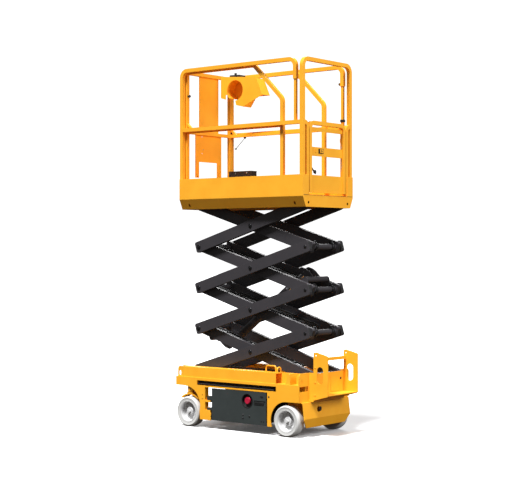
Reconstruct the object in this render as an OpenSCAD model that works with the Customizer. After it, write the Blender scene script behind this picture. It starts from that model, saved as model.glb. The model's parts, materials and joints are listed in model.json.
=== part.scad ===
// Self-propelled scissor lift: wheeled base, four-level arm stack, guarded platform.
// Millimetres. X runs to the entry end, Y to the far side, Z up; ground is z = 0.

/* [Base] */
// front end of the base ahead of the lowest sliding pins
base_nose = 199; // [150:1:400]
// overall width over the wheels
base_width = 810; // [740:5:1200]
// how far the entry step sticks out behind the side plates
step_length = 219; // [120:1:320]
// top of the side beams above ground
base_top = 600; // [520:5:800]
// underside of the side beams above ground
beam_bottom = 409; // [360:1:480]
// height of the crease between the two bands of a side beam
crease_height = 497; // [440:1:560]
// how far the front end of the upper band is led in
lead_in = 22; // [0:1:60]
// rear end of a side beam ahead of the rear ends of the side plates
beam_setback = 287; // [220:1:500]
// lowest edge of the legs and trays above ground
leg_bottom = 85; // [50:1:140]
// sheet thickness of the base
plate = 8; // [4:1:14]
// half the width of the space left for the arms
well_half = 292; // [270:1:420]
// half the width of the entry step box
step_half = 248; // [220:1:360]
// top of the step side plates above ground
step_top = 806; // [640:1:1000]
// how far the centre rear panel stands behind the side plates
rear_jut = 52; // [20:1:90]

/* [Wheels] */
// tyre outside diameter
wheel_dia = 300; // [250:5:420]
// tyre width
tyre_width = 100; // [70:5:150]
// rear axle ahead of the rear ends of the side plates
rear_setback = 157; // [120:1:240]
// front axle behind the front end
front_setback = 161; // [150:1:260]
// clearance between a tyre and its rear arch
arch_gap = 33; // [18:1:60]
// room beside a tyre, from the member over the rear axles
tyre_room = 13; // [8:1:40]
// width of the cross member over the rear axles, along the machine
member_width = 120; // [60:2:200]
// how far the rear cover's top reaches past the wheels
cover_lip = 28; // [20:1:60]
// how far its fold reaches past the wheels
cover_bulge = 46; // [30:1:70]
// how far its lower edge reaches past the wheels
cover_tuck = 22; // [16:1:50]
// height of the fold above the ground
cover_fold = 178; // [150:1:220]
// height of the lower edge above the ground
cover_foot = 92; // [70:1:140]
// distance of the hole in the cover from the middle of the machine
cover_hole_side = 132; // [60:1:240]
// height of that hole above the ground
cover_hole_height = 258; // [220:1:270]
// radius of the housing that holds a stub axle
stub_radius = 52; // [40:1:60]
// length of that housing
stub_housing = 58; // [40:1:70]
// distance of a stub axle's end from the side of the base
stub_inset = 48; // [40:1:60]
// plate between a rear arch and the tray door
arch_web = 42; // [20:1:90]

/* [Trays] */
// seam between a tray door and the plate behind it
tray_seam = 14; // [4:1:30]
// tray depth across the base
tray_depth = 230; // [150:5:260]
// distance from the front end to the tray hinge pin
tray_setback = 427; // [380:1:600]

// stop switch behind the hinge pin
switch_x = 506; // [300:2:600]
// stop switch above ground
switch_z = 312; // [250:2:340]
// bowl round the stop switch
bowl_dia = 134; // [90:2:150]
// underside of the power unit above ground
unit_bottom = 130; // [90:5:240]
// width of the long lashing loop
loop_width = 120; // [90:1:180]
// height of the lashing loops
loop_height = 62; // [45:1:90]

/* [Arms] */
// arm length between end pins
arm_span = 1404; // [1100:1:1800]
// arm tube depth
arm_depth = 108; // [80:1:130]
// arm tube width
arm_width = 44; // [30:1:70]
// angle of the arms as drawn
raise_angle = 17; // [6:0.5:60]
// arm end past its pin
arm_over = 42; // [34:1:60]
// gap between an outer arm and an inner arm
arm_gap = 9; // [6:1:20]
// height of the lowest pins
pivot_height = 570; // [520:1:700]
// fixed pins in front of the rear side plates
pivot_setback = 21; // [12:1:80]
// end pin diameter
pin_dia = 30; // [20:1:44]
// running clearance of the pins, on radius
pin_gap = 0.3; // [0.1:0.1:1]
// clearance round the lowest fixed pins in their lugs, on radius
lug_gap = 1; // [0.5:0.1:2]
// outside diameter of the cross sleeves
sleeve_dia = 54; // [44:1:70]

/* [Lift cylinder] */
// cylinder pin from the arm's end pin
cyl_inset = 240; // [160:1:400]
// cylinder pin off the arm's centre line
cyl_offset = 98; // [80:1:160]
// cross girder of the cylinder's ears behind the pin
girder_back = 135; // [110:1:180]
// girder's axis outside the edge of the arm
girder_drop = 16; // [10:1:30]
// gap between the girder's ends and the arms of the next pair
girder_gap = 6; // [4:1:12]
// barrel outside diameter
barrel_dia = 80; // [60:1:120]
// rod diameter
rod_dia = 50; // [30:1:70]
// barrel length from its pin
barrel_length = 925; // [600:5:1400]
// rod length from its pin
rod_length = 945; // [600:5:1400]

/* [Platform] */
// platform front end ahead of the sliding pins
deck_nose = 152; // [120:1:400]
// platform width
deck_width = 810; // [700:5:1200]
// platform rear end behind the fixed pins
deck_overhang = 67; // [62:1:200]
// depth of the frame under the toe boards
skirt_depth = 100; // [60:1:160]
// how far the frame leans in on each side
skirt_lean = 45; // [20:1:90]
// toe board height
toe_height = 204; // [150:1:260]
// top of the guard rails above the toe boards' lower edge
rail_top = 1313; // [1000:1:1400]
// centre of the middle rail above the toe boards' lower edge
mid_rail = 697; // [450:1:900]
// guard rail tube, across its flats
tube_dia = 38; // [25:1:50]
// bend radius of the guard rails
bend = 70; // [40:1:120]
// gate width
gate_width = 584; // [450:2:700]
// rear post of a side rail ahead of the platform's rear end
post_inset = 104; // [90:1:300]
// length of the bent tube that the slimmer rear post slides in
post_sleeve = 190; // [120:1:400]

/* [Roll-out deck] */
// length of the inner side rails
ext_length = 1265; // [900:5:1900]
// inner rail tube, across its flats
ext_tube = 36; // [20:1:40]
// gap between outer and inner rails
nest_gap = 10; // [6:1:30]
// length of the level top tube of an inner rail
ext_top = 890; // [500:5:1400]
// width of the front panel over the rails
panel_width = 302; // [250:2:400]
// middle of the front panel off the platform's centre line
panel_shift = 23; // [-30:1:40]
// lower edge of the front panel above the toe boards' lower edge
panel_foot = 232; // [215:1:300]
// distance of the front panel's holes from its near edge
panel_hole_inset = 46; // [20:1:120]
// distance of its upper hole below the middle rail
panel_hole_top = 42; // [20:1:100]
// distance of its lower hole below the middle rail
panel_hole_low = 215; // [120:1:260]
// length of the outlet box
outlet_length = 300; // [150:5:500]
// height of the outlet box
outlet_height = 276; // [150:2:400]
// depth of the outlet box
outlet_depth = 88; // [60:1:150]
// distance of the outlet box from the front of the platform
outlet_inset = 120; // [60:5:300]
// gap between the outlet box and the rail behind it
outlet_gap = 22; // [19:1:60]
// length of the control box's desk
desk_length = 130; // [90:5:200]
// height of the joystick over the hood
stick_height = 42; // [30:1:80]
// distance of the stick from the near edge of the desk
stick_inset = 50; // [30:1:80]
// radius of the round opening in the hood
hood_arch = 105; // [80:1:120]
// distance of the arch's centre behind the front of the hood
hood_reach = 190; // [170:1:210]
// distance of the arch's centre below the rail
hood_drop = 145; // [130:1:160]
// depth of the hood across the platform
hood_depth = 126; // [90:1:200]
// gap between the hood and the inner rail beside it
hood_gap = 19.8; // [5:0.1:60]
// control box behind the front edge of the hood
desk_setback = 102; // [60:1:150]

/* [Hidden] */
$fn = 48;
e = 0.01;
yellow = [0.96, 0.68, 0.16];
black = [0.16, 0.15, 0.16];
dark = [0.2, 0.21, 0.21];
pale = [0.82, 0.82, 0.8];
steel = [0.62, 0.63, 0.65];
red = [0.75, 0.1, 0.16];

rise = arm_span * sin(raise_angle);
run = arm_span * cos(raise_angle);
base_length = base_nose + run + pivot_setback; // without the entry step
x_front = -(base_length + step_length) / 2;
x_side = x_front + base_length;
x_rear = x_side + rear_jut;
x_end = x_side + step_length;
x_beam = x_side - beam_setback;
half = base_width / 2;
x_fw = x_front + front_setback;
x_rw = x_side - rear_setback;
wheel_r = wheel_dia / 2;
y_wheel = half - tyre_width / 2;
y_member = half - tyre_width - tyre_room;      // end of the member over the rear axles
arch_r = wheel_r + arch_gap;
axle_r = 19;

px = x_side - pivot_setback;
lx = px - run;
y_in = well_half - arm_gap - arm_width;        // inner face of an outer arm
y_b = y_in - arm_gap - arm_width;              // inner face of an inner arm
y_out = y_in + arm_width;                      // outer face of an outer arm
pin_r = pin_dia / 2;
bore_r = pin_r + pin_gap;
top_pin = pivot_height + 4 * rise;
track_in = y_b - 72;                           // web of the slide tracks
track_out = y_b - 13;
block_h = 56;
block_l = 80;
track_gap = 0.3;

cyl_run = (arm_span - 2 * cyl_inset) * cos(raise_angle) + 2 * cyl_offset * sin(raise_angle);
cyl_rise = (arm_span + 2 * cyl_inset) * sin(raise_angle) + 2 * cyl_offset * cos(raise_angle);
cyl_angle = atan2(cyl_rise, cyl_run);
cyl_len = sqrt(cyl_run * cyl_run + cyl_rise * cyl_rise);
cx1 = px - (arm_span - cyl_inset) * cos(raise_angle) - cyl_offset * sin(raise_angle);
cz1 = pivot_height + (arm_span - cyl_inset) * sin(raise_angle) - cyl_offset * cos(raise_angle);

d_rear = px + deck_overhang;
d_front = lx - deck_nose;
deck_length = d_rear - d_front;
d_half = deck_width / 2;
corner_r = sqrt(arm_over * arm_over + arm_depth * arm_depth / 4);
deck_z = top_pin + corner_r + 7;               // underside of the deck plate
toe_z = deck_z - 11;                           // lower edge of the toe boards
skirt_z = toe_z - skirt_depth;
deck_t = 4;
ext_z = deck_z + deck_t + 5;
rail_z = toe_z + rail_top - tube_dia / 2;
mid_z = toe_z + mid_rail;
tube_r = tube_dia / 2;
toe_t = 5;
seat = 0.2;
rail_y = d_half - toe_t - seat - tube_r;
ext_r = ext_tube / 2;
ext_y = rail_y - tube_r - nest_gap - ext_r;
ext_rail_z = rail_z - 12;
hood_y = ext_y - ext_r - hood_gap;             // far side of the hood
x_hang = d_front + 38 - ext_r - seat;          // where the front panel and hood hang
gate_y = gate_width / 2;
gate_r = 19;                                   // half the gate tube
gate_hinges = [ext_z + 110, mid_z - 160];
x_end_rail = d_rear - toe_t - seat - tube_r;   // plane of the end rail and the gate
xh = x_front + tray_setback;
x_sp = x_rw - arch_r - arch_web;               // front edge of a side plate
tray_length = x_sp - tray_seam - xh - 50;
tray_top = beam_bottom - 5;
hinge_y = half - 22;
hinge = [[leg_bottom, 184, 24], [262, 281, 42]]; // tab of a tray hinge from, to, and its arm's height
x_gate_hinge = x_end_rail - tube_r - 8;          // hinge axis of the gate
y_gate_hinge = gate_y + 4;

// ---------- helpers ----------
module box(x0, x1, y0, y1, z0, z1) {
  translate([x0, y0, z0]) cube([x1 - x0, y1 - y0, z1 - z0]);
}
module both() {
  children();
  mirror([0, 1, 0]) children();
}
module rod_x(x0, x1, y, z, r) {
  translate([x0, y, z]) rotate([0, 90, 0]) cylinder(r = r, h = x1 - x0);
}
module rod_y(x, y0, y1, z, r) {
  translate([x, y1, z]) rotate([90, 0, 0]) cylinder(r = r, h = y1 - y0);
}
module rod_z(x, y, z0, z1, r) {
  translate([x, y, z0]) cylinder(r = r, h = z1 - z0);
}
// outline in x and z, given thickness across y
module slab(y0, y1, pts) {
  translate([0, y1, 0]) rotate([90, 0, 0]) linear_extrude(y1 - y0) polygon(pts);
}
// square tube, t from its centre line to its faces
module bar_x(x0, x1, y, z, t) {
  box(x0, x1, y - t, y + t, z - t, z + t);
}
module bar_y(x, y0, y1, z, t) {
  box(x - t, x + t, y0, y1, z - t, z + t);
}
module bar_z(x, y, z0, z1, t) {
  box(x - t, x + t, y - t, y + t, z0, z1);
}
// outline in y and z, given thickness along x
module slab_x(x0, x1, pts) {
  translate([x0, 0, 0]) rotate([90, 0, 90]) linear_extrude(x1 - x0) polygon(pts);
}
// bend of square tube in the xz plane around [x, z], from angle a over the sweep
module bend_xz(x, y, z, r, t, a, sweep = 90) {
  translate([x, y, z]) rotate([90, 0, 0]) rotate([0, 0, a])
    rotate_extrude(angle = sweep) translate([r - t, -t]) square(2 * t);
}
// the same in the yz plane
module bend_yz(x, y, z, r, t, a, sweep = 90) {
  translate([x, y, z]) rotate([0, 0, 90]) rotate([90, 0, 0]) rotate([0, 0, a])
    rotate_extrude(angle = sweep) translate([r - t, -t]) square(2 * t);
}
// upside-down U of square tube in the xz plane
module hoop_xz(x0, x1, y, z0, z1, r, t) {
  bar_z(x0, y, z0, z1 - r, t);
  bar_z(x1, y, z0, z1 - r, t);
  bar_x(x0 + r, x1 - r, y, z1, t);
  bend_xz(x0 + r, y, z1 - r, r, t, 90);
  bend_xz(x1 - r, y, z1 - r, r, t, 0);
}
module hoop_yz(x, y0, y1, z0, z1, r, t) {
  bar_z(x, y0, z0, z1 - r, t);
  bar_z(x, y1, z0, z1 - r, t);
  bar_y(x, y0 + r, y1 - r, z1, t);
  bend_yz(x, y0 + r, z1 - r, r, t, 90);
  bend_yz(x, y1 - r, z1 - r, r, t, 0);
}
// upside-down U of round bar in the xz plane
module eye_xz(x0, x1, y, z0, z1, r, t) {
  rod_z(x0, y, z0, z1 - r, t);
  rod_z(x1, y, z0, z1 - r, t);
  rod_x(x0 + r, x1 - r, y, z1, t);
  for (k = [[x0 + r, 90], [x1 - r, 0]]) translate([k[0], y, z1 - r]) rotate([90, 0, 0])
    rotate([0, 0, k[1]]) rotate_extrude(angle = 90) translate([r, 0]) circle(r = t);
}
// the same in the yz plane
module eye_yz(x, y0, y1, z0, z1, r, t) {
  rod_z(x, y0, z0, z1 - r, t);
  rod_z(x, y1, z0, z1 - r, t);
  rod_y(x, y0 + r, y1 - r, z1, t);
  for (k = [[y0 + r, 90], [y1 - r, 0]]) translate([x, k[0], z1 - r]) rotate([0, 0, 90])
    rotate([90, 0, 0]) rotate([0, 0, k[1]]) rotate_extrude(angle = 90) translate([r, 0]) circle(r = t);
}

// ---------- base ----------
module side_beam() {
  // lower band, full length, with the long slot through its face
  difference() {
    box(x_front, x_beam + 12, half - plate, half, beam_bottom, crease_height);
    box(x_fw + 123, x_beam + 12 + e, half - plate - e, half + e, beam_bottom + 14, crease_height - 26);
  }
  // upper band, set in, its front end led inwards, rounded and pierced
  difference() {
    translate([0, 0, crease_height - e]) linear_extrude(base_top - crease_height) polygon([
      [x_front, half - 8 - lead_in], [x_front + 98, half - 8], [x_beam, half - 8], [x_beam, half - 16],
      [x_front + 99, half - 16], [x_front, half - 16 - lead_in]]);
    difference() {
      box(x_front - 1, x_front + 36, half - 60, half, base_top - 36, base_top + 1);
      rod_y(x_front + 36, half - 61, half + 1, base_top - 36, 36);
    }
    for (z = [crease_height + 25, crease_height + 43])
      rod_y(x_front + 37, half - 60, half, z, 16);
    box(x_front + 21, x_front + 53, half - 60, half, crease_height + 25, crease_height + 43);
  }
  box(x_front + 100, x_beam, well_half, half - 12, base_top - plate, base_top);
  box(x_front, x_side, well_half, well_half + plate, beam_bottom - plate, base_top);
  box(x_front, x_side, well_half, half, crease_height - plate, crease_height);
  box(x_front, x_front + plate, well_half, half, beam_bottom, crease_height);
}
module front_leg() {
  xl = x_fw + 163;
  difference() {
    slab(half - plate, half, [[x_fw - 30, beam_bottom + e], [xl + 66, beam_bottom + e],
      [xl + 66, hinge[0][1]], [xl + 112, hinge[0][1]], [xh + 38, 150], [xh + 38, leg_bottom],
      [xl, leg_bottom],
      [xl - 13, 230], [x_fw - 20, 300]]);
    rod_y(x_fw - 26, half - plate - 1, half + 1, 215, 190);
  }
  box(xl, xl + plate, half - 56, half - plate + e, leg_bottom, beam_bottom + 10);
  box(xl + 66 - plate, xl + 66, half - 56, half - plate + e, leg_bottom, beam_bottom + 10);
  box(xl, xl + 66, half - 56, half - 56 + plate, leg_bottom, beam_bottom + 10);
  // tabs and pins of the tray hinges
  for (h = hinge) {
    box(xl + 66 - e, xh + 30, hinge_y - 20, hinge_y + 20, h[0], h[1]);
    rod_z(xh, hinge_y, h[1] - e, h[1] + h[2] + 4, 8);
  }
}
module side_plate() {
  difference() {
    slab(half - plate, half, [[x_sp, leg_bottom], [x_rw - arch_r + 11, leg_bottom],
      [x_rw - arch_r + 11, wheel_r], [x_rw, wheel_r + 40], [x_rw, wheel_r + arch_r],
      [x_side, wheel_r + arch_r + 2], [x_side, crease_height], [x_beam + 12 - e, crease_height],
      [x_beam + 12 - e, beam_bottom + 14], [x_sp, beam_bottom + 14]]);
    rod_y(x_rw, half - plate - 1, half + 1, wheel_r, arch_r);
    rod_y(x_sp + 22, half - plate - 1, half + 1, beam_bottom - 42, 8);
  }
  box(x_sp, x_sp + plate, half - 50, half - plate + e, leg_bottom, beam_bottom + 10);
  // gusset standing on the plate, its front edge hollow
  difference() {
    box(x_rw - 36, x_rw + 44, well_half, half - 8, crease_height - e, base_top);
    box(x_rw - 37, x_rw + 6, well_half - 1, half, crease_height + 45, base_top + 1);
    rod_y(x_rw - 39, well_half - 1, half, crease_height + 45, 45);
  }
  // rear face beside the step, its outer corner rounded
  difference() {
    box(x_side - plate, x_side, step_half, half, wheel_r + arch_r, base_top + 9);
    box(x_side - plate - 1, x_side + 1, step_half + 18, half - 6, beam_bottom + 26, crease_height - 14);
    box(x_side - plate - 1, x_side + 1, half - 50, half - 42, crease_height + 18, crease_height + 51);
    difference() {
      box(x_side - plate - 1, x_side + 1, half - 34, half + 1, base_top - 25, base_top + 10);
      rod_x(x_side - plate - 2, x_side + 2, half - 34, base_top - 25, 34);
    }
  }
}
module side_frame() {
  side_beam();
  front_leg();
  side_plate();
  // seat of the steering pivot
  rod_z(x_fw, y_wheel, wheel_dia + 50 + pin_gap, crease_height - plate + e, 34);
}
module near_side_frame() {
  color(yellow) mirror([0, 1, 0]) side_frame();
}
module far_side_frame() {
  color(yellow) side_frame();
}
module well_frame() {
  x0 = x_side - plate;
  color(yellow) {
    // floor of the arm well, front and rear walls
    box(x_front, x0, -well_half, well_half, beam_bottom - plate, beam_bottom);
    box(x_front, x_front + plate, -well_half, well_half, beam_bottom - e, base_top - 40);
    box(x0 - e, x_rear, -step_half, step_half, beam_bottom - plate, beam_bottom);
    box(x_rear - plate, x_rear, -step_half, step_half, wheel_r + arch_r + 2, base_top);
    both() box(x0, x_rear, step_half - plate, step_half, wheel_r + arch_r + 2, base_top + 9);
    // lugs of the fixed pins
    both() difference() {
      slab(y_in - 8, y_in + 2, [[px - 70, beam_bottom - e], [px + 60, beam_bottom - e],
        [px + 34, pivot_height + 10], [px + 16, pivot_height + 33], [px - 16, pivot_height + 33],
        [px - 34, pivot_height + 10]]);
      rod_y(px, y_in - 9, y_in + 3, pivot_height, pin_r + lug_gap);
    }
    // cross member over the rear axles
    box(x_rw - member_width / 2, x_rw + member_width / 2, -y_member, y_member,
      wheel_r + 40, beam_bottom - plate + e);
  }
}
module rear_cover() {
  z1 = wheel_r + arch_r;
  x1 = x_rw + wheel_r;
  y1 = half - 34;
  color(yellow) difference() {
    slab(-y1, y1, [[x_side - plate, z1], [x1 + cover_lip, z1], [x1 + cover_bulge, cover_fold],
      [x1 + cover_tuck, cover_foot], [x1 + cover_tuck - 8, cover_foot],
      [x1 + cover_bulge - 8, cover_fold], [x1 + cover_lip - 8, z1 - plate],
      [x_side - plate, z1 - plate]]);
    rod_x(x1, x1 + 80, -cover_hole_side, cover_hole_height, 27);
    // lower corners cut away from the tyres
    both() slab_x(x1 + 10, x1 + 60, [[y1 + 1, 90], [y1 - 60, 90], [y1 + 1, 170]]);
  }
}
module entry_step() {
  x0 = x_rear;
  color(yellow) {
    both() difference() {
      slab(step_half - plate, step_half, [[x0, beam_bottom - 60], [x_end - 10, beam_bottom - 18],
        [x_end, beam_bottom - 8], [x_end, step_top - 38], [x_end - 12, step_top - 30],
        [x0 + 30, step_top], [x0, step_top - 6]]);
      box(x0 + 40, x0 + 112, step_half - plate - 1, step_half + 1, 544, 632);
      for (z = [544, 632]) rod_y(x0 + 76, step_half - plate - 1, step_half + 1, z, 36);
      rod_y(x0 + 26, step_half - plate - 1, step_half + 1, step_top - 32, 7);
    }
    box(x_end - 60, x_end, -step_half, step_half, beam_bottom - 12, beam_bottom - 4);
    box(x0, x0 + 30, -step_half, step_half, step_top - 92, step_top - 62);
    box(x0, x_end, -step_half, step_half, beam_bottom - 12, beam_bottom - 12 + plate);
  }
}
module base_tracks() {
  x0 = x_front + 60;
  x1 = px - arm_span * cos(62) + block_l / 2 + 20;
  zb = pivot_height - block_h / 2 - track_gap;
  color(dark) both() {
    box(x0, x1, track_in, track_in + plate, zb - plate, pivot_height + 4);
    box(x0, x1, track_in, track_out, zb - plate, zb);
    for (x = [x0 + 10, (x0 + x1) / 2, x1 - 20])
      box(x, x + plate, track_in, track_out, beam_bottom, zb - plate + e);
  }
}
module base_pin() {
  y1 = step_half - plate - pin_gap;
  color(steel) rod_y(px, -y1, y1, pivot_height, pin_r);
}
module lashing_loops() {
  y = half - 46;
  x1 = x_beam - 24;
  color(yellow) both() {
    eye_xz(x1 - loop_width, x1, y, base_top, base_top + loop_height, 24, 7);
    eye_yz(x_beam - 8, well_half + 15, y, base_top, base_top + loop_height - 14, 20, 7);
  }
}
module power_block() {
  w = half - tray_depth - 32;
  color(dark) box(xh + 90, x_sp + 15, -w, w, unit_bottom, beam_bottom - plate);
}
module tray() {
  z0 = leg_bottom + 4;
  difference() {
    union() {
      box(xh + 50, xh + 50 + tray_length, half - 12, half - 2, z0, tray_top);
      box(xh + 60, xh + tray_length, half - tray_depth, half - 12 + e, z0 + 10, tray_top - 24);
    }
    // bowl round the stop switch, and grip recess
    rod_y(xh + switch_x, half - 34, half, switch_z, bowl_dia / 2);
    box(xh + tray_length - 100, xh + tray_length + 40, half - 8, half, 284, 320);
  }
  // hinge arms lying on the tabs of the base
  for (h = hinge) difference() {
    union() {
      rod_z(xh, hinge_y, h[1] + pin_gap, h[1] + h[2], 20);
      box(xh, xh + 52, hinge_y - 20, hinge_y + 18, h[1] + pin_gap, h[1] + h[2]);
    }
    rod_z(xh, hinge_y, h[1] - 1, h[1] + h[2] + 1, 8 + pin_gap);
  }
}
module near_tray() {
  color(dark) mirror([0, 1, 0]) tray();
}
module far_tray() {
  color(dark) tray();
}
module stop_switch() {
  x = xh + switch_x;
  color(red) {
    rod_y(x, -half + 16, -half + 34, switch_z, 24);
    rod_y(x, -half + 4, -half + 17, switch_z, 34);
  }
}
module rear_axles() {
  color(steel) both() {
    rod_y(x_rw, y_wheel - tyre_width / 2 - 40, half - 48, wheel_r, axle_r);
    box(x_rw - 45, x_rw + 45, y_wheel - tyre_width / 2 - 40, y_wheel - tyre_width / 2 - 14,
      wheel_r - 45, wheel_r + 40);
  }
}
module knuckle() {
  y0 = y_wheel - tyre_width / 2;
  ra = wheel_r + 16;
  // crown arched over the tyre, under the king pin
  translate([x_fw, y_wheel + 20, wheel_r]) rotate([90, 0, 0]) rotate([0, 0, 50])
    rotate_extrude(angle = 80) translate([ra, 0]) square([14, 50 + tyre_width / 2]);
  rod_z(x_fw, y_wheel, wheel_r + ra + 4, wheel_dia + 50, 30);
  for (x = [x_fw - 38, x_fw + 22]) box(x, x + 16, y0 - 30, y_wheel + 20, wheel_r + ra - 2, wheel_dia + 42);
  // cheek with the stub axle
  box(x_fw - 42, x_fw + 42, y0 - 30, y0 - 12, wheel_r - 45, wheel_dia + 42);
  rod_y(x_fw, y0 - 12 - stub_housing, y0 - 12, wheel_r, stub_radius);
  rod_y(x_fw, y0 - 20, half - stub_inset, wheel_r, axle_r);
}
module near_knuckle() {
  color(yellow) mirror([0, 1, 0]) knuckle();
}
module far_knuckle() {
  color(yellow) knuckle();
}
// tyre and rim about their own axis along z
module tyre() {
  w = tyre_width;
  rotate_extrude($fn = 72) polygon([[wheel_r - 48, 4], [wheel_r - 14, 0], [wheel_r - 4, 6],
    [wheel_r, 20], [wheel_r, w - 20], [wheel_r - 4, w - 6], [wheel_r - 14, w], [wheel_r - 48, w - 4]]);
}
module rim() {
  w = tyre_width;
  r = wheel_r - 48;
  difference() {
    rotate_extrude($fn = 60) polygon([[axle_r + pin_gap, 20], [r - 12, 20], [r - 6, 6], [r, 6], [r, w - 4],
      [r - 5, w - 4], [r - 9, w - 12], [r - 12, w - 46], [r - 20, w - 54], [46, w - 54], [40, w - 48],
      [38, w - 34], [33, w - 30], [axle_r + pin_gap, w - 30]]);
    for (a = [0 : 72 : 359]) rotate([0, 0, a + 18]) translate([66, 0, 10]) cylinder(r = 7, h = w);
  }
  // hub cap
  translate([0, 0, w - 38]) cylinder(r = 22, h = 12);
}
module at_wheel(x, s) {
  // outer face points away from the base
  translate([x, s * (half - tyre_width), wheel_r]) rotate([-90 * s, 0, 0]) children();
}
module near_front_tyre() { color(pale) at_wheel(x_fw, -1) tyre(); }
module near_front_rim() { color(pale) at_wheel(x_fw, -1) rim(); }
module far_front_tyre() { color(pale) at_wheel(x_fw, 1) tyre(); }
module far_front_rim() { color(pale) at_wheel(x_fw, 1) rim(); }
module near_rear_tyre() { color(pale) at_wheel(x_rw, -1) tyre(); }
module near_rear_rim() { color(pale) at_wheel(x_rw, -1) rim(); }
module far_rear_tyre() { color(pale) at_wheel(x_rw, 1) tyre(); }
module far_rear_rim() { color(pale) at_wheel(x_rw, 1) rim(); }

// ---------- arms ----------
// frame of an outer pair: origin on its lower front pin, x along the arm
module on_outer(i) {
  translate([lx, 0, pivot_height + (i - 1) * rise]) rotate([0, -raise_angle, 0]) children();
}
// frame of an inner pair: origin on its lower rear pin, -x along the arm
module on_inner(i) {
  translate([px, 0, pivot_height + (i - 1) * rise]) rotate([0, raise_angle, 0]) children();
}
// one arm tube; round_end closes its fixed end with a half disc round the pin
module arm(x0, x1, xp, y0, y1, round_end) {
  d = arm_depth / 2;
  c = 12;
  slab(y0, y1, concat([[x0, -d + c], [x0, d - c], [x0 + c, d]],
    round_end ? [[xp, d], [xp, -d]] : [[x1 - c, d], [x1, d - c], [x1, -d + c], [x1 - c, -d]],
    [[x0 + c, -d]]));
  if (round_end) rod_y(xp, y0, y1, 0, d);
}
module outer_pair(front_shaft, round_end = false) {
  difference() {
    both() arm(-arm_over, arm_span + arm_over, arm_span, y_in, y_out, round_end);
    rod_y(arm_span / 2, -y_out - 1, y_out + 1, 0, bore_r);
    if (!front_shaft) rod_y(0, -y_out - 1, y_out + 1, 0, bore_r);
  }
  rod_y(arm_span, -y_out - 1, y_out + 1, 0, pin_r);
  if (front_shaft) rod_y(0, -y_out - 1, y_out + 1, 0, pin_r);
}
module inner_pair(front_sleeve, round_end = false) {
  difference() {
    union() {
      both() arm(-arm_span - arm_over, arm_over, 0, y_b, y_b + arm_width, round_end);
      rod_y(0, -y_b - e, y_b + e, 0, sleeve_dia / 2);
      if (front_sleeve) rod_y(-arm_span, -y_b - e, y_b + e, 0, sleeve_dia / 2);
    }
    rod_y(0, -y_b - arm_width - 1, y_b + arm_width + 1, 0, bore_r);
    rod_y(-arm_span, -y_b - arm_width - 1, y_b + arm_width + 1, 0, bore_r);
  }
  both() rod_y(-arm_span / 2, y_b + arm_width - e, y_out + 3, 0, pin_r);
}
module outer_arms_1() { color(black) on_outer(1) outer_pair(false); }
module outer_arms_2() { color(black) on_outer(2) outer_pair(true); }
module outer_arms_3() { color(black) on_outer(3) outer_pair(true); }
module outer_arms_4() { color(black) on_outer(4) outer_pair(true, true); }
// ears carrying the cylinder, hung on a cross girder
module cyl_ears(x, s, closed) {
  y1 = barrel_dia / 2 + 8;
  r = sleeve_dia / 2;
  gx = -girder_back;
  gz = -arm_depth / 2 - girder_drop;
  yg = y_b - girder_gap;
  translate([x, 0, 0]) rotate([0, s < 0 ? 180 : 0, 0]) {
    both() difference() {
      slab(y1, y1 + 10, [[gx - 20, gz + 14], [gx + 10, gz + 20], [54, -cyl_offset + 14],
        [48, -cyl_offset - 26], [26, -cyl_offset - 44], [-26, -cyl_offset - 44],
        [-70, -cyl_offset - 32], [gx - 22, gz - 14]]);
      rod_y(0, y1 - 1, y1 + 11, -cyl_offset, pin_r);
    }
    rod_y(gx, -yg, yg, gz, r);
    // flanges from the girder's ends up to the arms
    both() {
      slab(yg - 10, yg, [[gx - 44, 12 - arm_depth / 2], [gx - 24, gz - 16], [gx + 24, gz - 16],
        [gx + 44, 12 - arm_depth / 2], [gx + 44, 40 - arm_depth / 2], [gx - 44, 40 - arm_depth / 2]]);
      box(gx - 44, gx + 44, yg - e, y_b + e, 12 - arm_depth / 2, 40 - arm_depth / 2);
    }
    if (closed) rod_y(0, -y1 - 14, y1 + 14, -cyl_offset, pin_r);
    else both() rod_y(0, y1, y1 + 14, -cyl_offset, pin_r);
  }
}
module inner_arms_1() {
  color(black) on_inner(1) {
    inner_pair(true, true);
    cyl_ears(-arm_span + cyl_inset, 1, true);
  }
}
module inner_arms_2() { color(black) on_inner(2) inner_pair(true); }
module inner_arms_3() {
  color(black) on_inner(3) {
    inner_pair(true);
    cyl_ears(-cyl_inset, -1, false);
  }
}
module inner_arms_4() { color(black) on_inner(4) inner_pair(false); }
module on_cylinder() {
  translate([cx1, 0, cz1]) rotate([0, -cyl_angle, 0]) children();
}
module lift_barrel() {
  r = barrel_dia / 2;
  color(black) on_cylinder() {
    difference() {
      rod_x(30, barrel_length, 0, 0, r);
      rod_x(60, barrel_length + 1, 0, 0, rod_dia / 2 + 1);
    }
    difference() {
      rod_y(0, -r, r, 0, 34);
      rod_y(0, -r - 1, r + 1, 0, bore_r);
    }
  }
}
module lift_rod() {
  color(steel) on_cylinder() {
    rod_x(cyl_len - rod_length, cyl_len - 28, 0, 0, rod_dia / 2);
    difference() {
      rod_y(cyl_len, -30, 30, 0, 34);
      rod_y(cyl_len, -31, 31, 0, pin_r);
    }
  }
}
module slider(x, z, reach) {
  y0 = track_in + plate + track_gap;
  both() {
    box(x - block_l / 2, x + block_l / 2, y0, track_out, z - block_h / 2, z + block_h / 2);
    rod_y(x, y0 + 1, reach, z, pin_r);
  }
}
module base_slider() { color(dark) slider(lx, pivot_height, y_out + 1); }
module deck_slider() { color(dark) slider(lx, top_pin, y_b + arm_width + 1); }

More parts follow.
